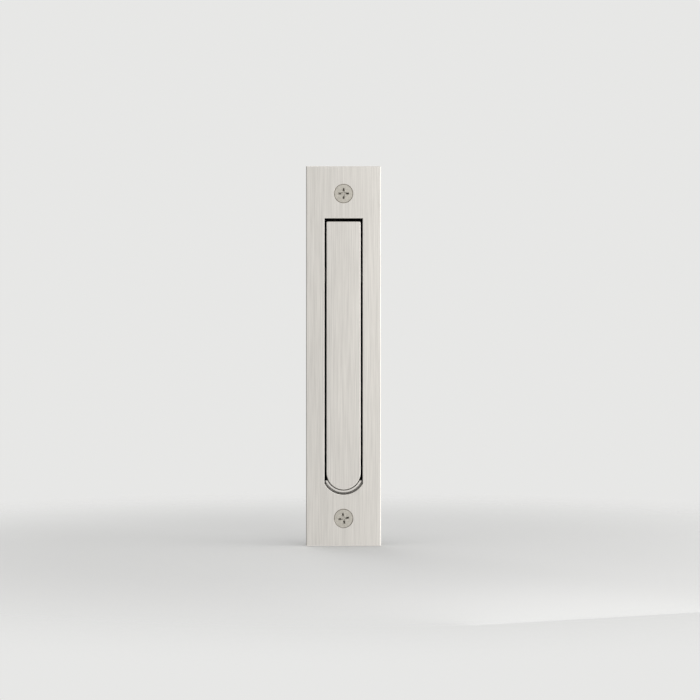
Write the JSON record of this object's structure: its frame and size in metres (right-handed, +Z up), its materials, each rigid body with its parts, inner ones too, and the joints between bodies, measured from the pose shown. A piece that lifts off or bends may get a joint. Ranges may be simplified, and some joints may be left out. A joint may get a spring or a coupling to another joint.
{
  "type": "pocket door pull",
  "caption": "Flush edge pull for a pocket door: a narrow plate with a hinged lever that lies level with it and swings its round end out when its square top end is pressed in.",
  "frame": {"origin": "centre of the plate's back face, midway between the two mounting screws, where the plate meets the door's edge", "axes": "+X across the plate to the right as seen from the front, +Y into the door, +Z up along the plate"},
  "size_m": [0.03, 0.0251, 0.152],
  "materials": {
    "satin_nickel": "brushed satin nickel plate",
    "screw_nickel": "satin nickel plate, slightly darker and warmer",
    "case_black": "matt black paint",
    "zinc_plated_steel": "bright zinc plate",
    "spring_steel": "oiled spring steel",
    "bush_plastic": "black moulded plastic",
    "black_rubber": "matt rubber"
  },
  "bodies": {
    "plate_and_case": {"face_plate": "satin_nickel", "mounting_screws": "screw_nickel", "case": "case_black", "case_studs": "zinc_plated_steel", "case_washers": "zinc_plated_steel", "case_nuts": "zinc_plated_steel", "pivot_pin": "zinc_plated_steel", "retaining_clip": "spring_steel", "return_spring": "spring_steel", "rest_block": "satin_nickel", "rest_pad": "black_rubber", "rest_block_screws": "zinc_plated_steel", "bumper": "black_rubber"},
    "swing_lever": {"lever": "satin_nickel", "bush_left": "bush_plastic", "bush_right": "bush_plastic"}
  },
  "joints": [
    {"name": "lever_swing", "type": "hinge", "parent": "plate_and_case", "child": "swing_lever", "pos_m": [0, 0.004, 0.03205], "axis": [-1, 0, 0], "range_deg": [0, 35], "stiffness_Nm_per_rad": 0.08, "springref_deg": -34.38, "deforming": ["return_spring"]}
  ]
}
